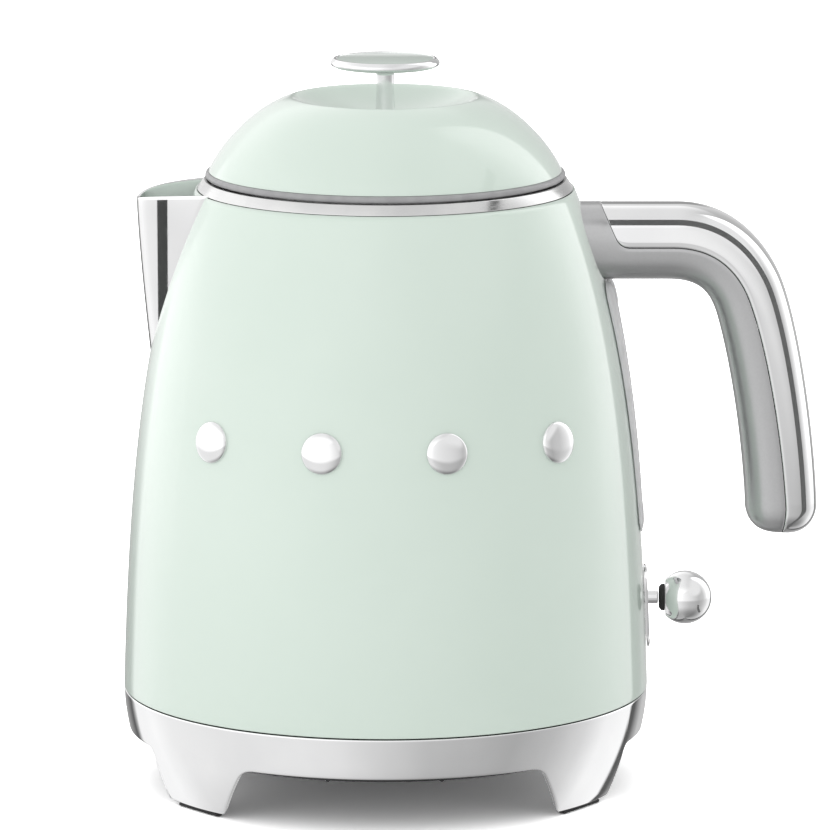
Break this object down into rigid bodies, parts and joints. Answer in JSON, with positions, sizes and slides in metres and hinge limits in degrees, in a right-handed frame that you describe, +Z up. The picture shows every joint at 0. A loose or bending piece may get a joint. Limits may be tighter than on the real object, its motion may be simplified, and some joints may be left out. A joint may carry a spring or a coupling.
{
  "type": "electric kettle",
  "caption": "Compact retro electric kettle: painted bell body and domed lid, chrome spout and footed power base, one-sided handle and ball-ended switch lever.",
  "frame": {"origin": "centre of the bounding box at table level, under the rubber pads", "axes": "+Z up, +X towards the handle, -X towards the spout, -Y towards the front with the row of studs. The kettle's own turning axis is vertical at x = -0.02544 m."},
  "size_m": [0.2094, 0.1586, 0.2206],
  "materials": {
    "mint_enamel": "high-gloss pastel green enamel",
    "polished_chrome": "mirror polished",
    "satin_grey_plastic": "satin grey with a fine moulded grain",
    "frosted_plastic": "pearly light grey, half translucent",
    "dark_plastic": "matt black moulded",
    "black_rubber": "matt",
    "grey_silicone": "satin",
    "clear_plastic": "clear, slightly smoky",
    "vessel_steel": "brushed",
    "cast_aluminium": "as cast",
    "contact_brass": "satin"
  },
  "bodies": {
    "base": {"base_skirt": "polished_chrome", "base_deck": "satin_grey_plastic", "base_pan": "dark_plastic", "base_screw_1": "vessel_steel", "base_screw_2": "vessel_steel", "base_screw_3": "vessel_steel", "cord_grommet": "black_rubber", "foot_pad_1": "black_rubber", "foot_pad_2": "black_rubber", "foot_pad_3": "black_rubber", "foot_pad_4": "black_rubber", "base_connector": "dark_plastic", "pin_contact": "contact_brass", "inner_ring_contact": "contact_brass", "outer_ring_contact": "contact_brass"},
    "shutter": {"connector_shutter": "dark_plastic"},
    "kettle": {"body_shell": "mint_enamel", "neck_band": "vessel_steel", "spout": "polished_chrome", "window_frame": "frosted_plastic", "water_window": "clear_plastic", "lever_plate": "polished_chrome", "handle_core": "satin_grey_plastic", "handle_cover": "polished_chrome", "handle_backplate": "vessel_steel", "handle_screw_1": "vessel_steel", "handle_screw_2": "vessel_steel", "heater_plate": "vessel_steel", "heater_ring": "cast_aluminium", "element_pin_1": "cast_aluminium", "element_pin_2": "cast_aluminium", "steam_tube": "vessel_steel", "bimetal_disc": "contact_brass", "control_unit": "dark_plastic", "kettle_socket": "dark_plastic", "underside_cover": "dark_plastic", "underside_screw_1": "vessel_steel", "underside_screw_2": "vessel_steel", "underside_screw_3": "vessel_steel", "lever_yoke": "dark_plastic", "pivot_pin": "vessel_steel", "front_stud_1": "polished_chrome", "front_stud_2": "polished_chrome", "front_stud_3": "polished_chrome", "front_stud_4": "polished_chrome"},
    "filter": {"filter_frame": "satin_grey_plastic", "filter_mesh": "vessel_steel"},
    "switch": {"switch_arm": "dark_plastic", "switch_stem": "polished_chrome", "stem_collar": "black_rubber", "switch_ball": "polished_chrome"},
    "rocker": {"trip_rocker": "dark_plastic"},
    "lid": {"lid_shell": "mint_enamel", "lid_rim": "grey_silicone", "lid_liner": "vessel_steel", "lid_seal": "grey_silicone", "knob_stem": "polished_chrome", "knob_disc": "polished_chrome", "knob_inset": "mint_enamel", "knob_screw": "vessel_steel"}
  },
  "joints": [
    {"name": "base_swivel", "type": "hinge", "parent": "base", "child": "shutter", "pos_m": [-0.02544, 0, 0.027], "axis": [0, 0, 1], "continuous": true},
    {"name": "kettle_lift", "type": "slide", "parent": "shutter", "child": "kettle", "axis": [0, 0, 1], "range_m": [0, 0.06]},
    {"name": "lid_lift", "type": "slide", "parent": "kettle", "child": "lid", "axis": [0, 0, 1], "range_m": [0, 0.05]},
    {"name": "switch_lever", "type": "hinge", "parent": "kettle", "child": "switch", "pos_m": [0.03256, 0, 0.056], "axis": [0, 1, 0], "range_deg": [0, 12]},
    {"name": "rocker_trip", "type": "hinge", "parent": "kettle", "child": "rocker", "pos_m": [0.01256, 0, 0.056], "axis": [0, 1, 0], "range_deg": [-12, 0]},
    {"name": "filter_slide", "type": "slide", "parent": "kettle", "child": "filter", "axis": [1, 0, 0], "range_m": [0, 0.012]}
  ],
  "couplings": [
    {"joint": "rocker_trip", "follows": "switch_lever", "ratio": -1}
  ]
}
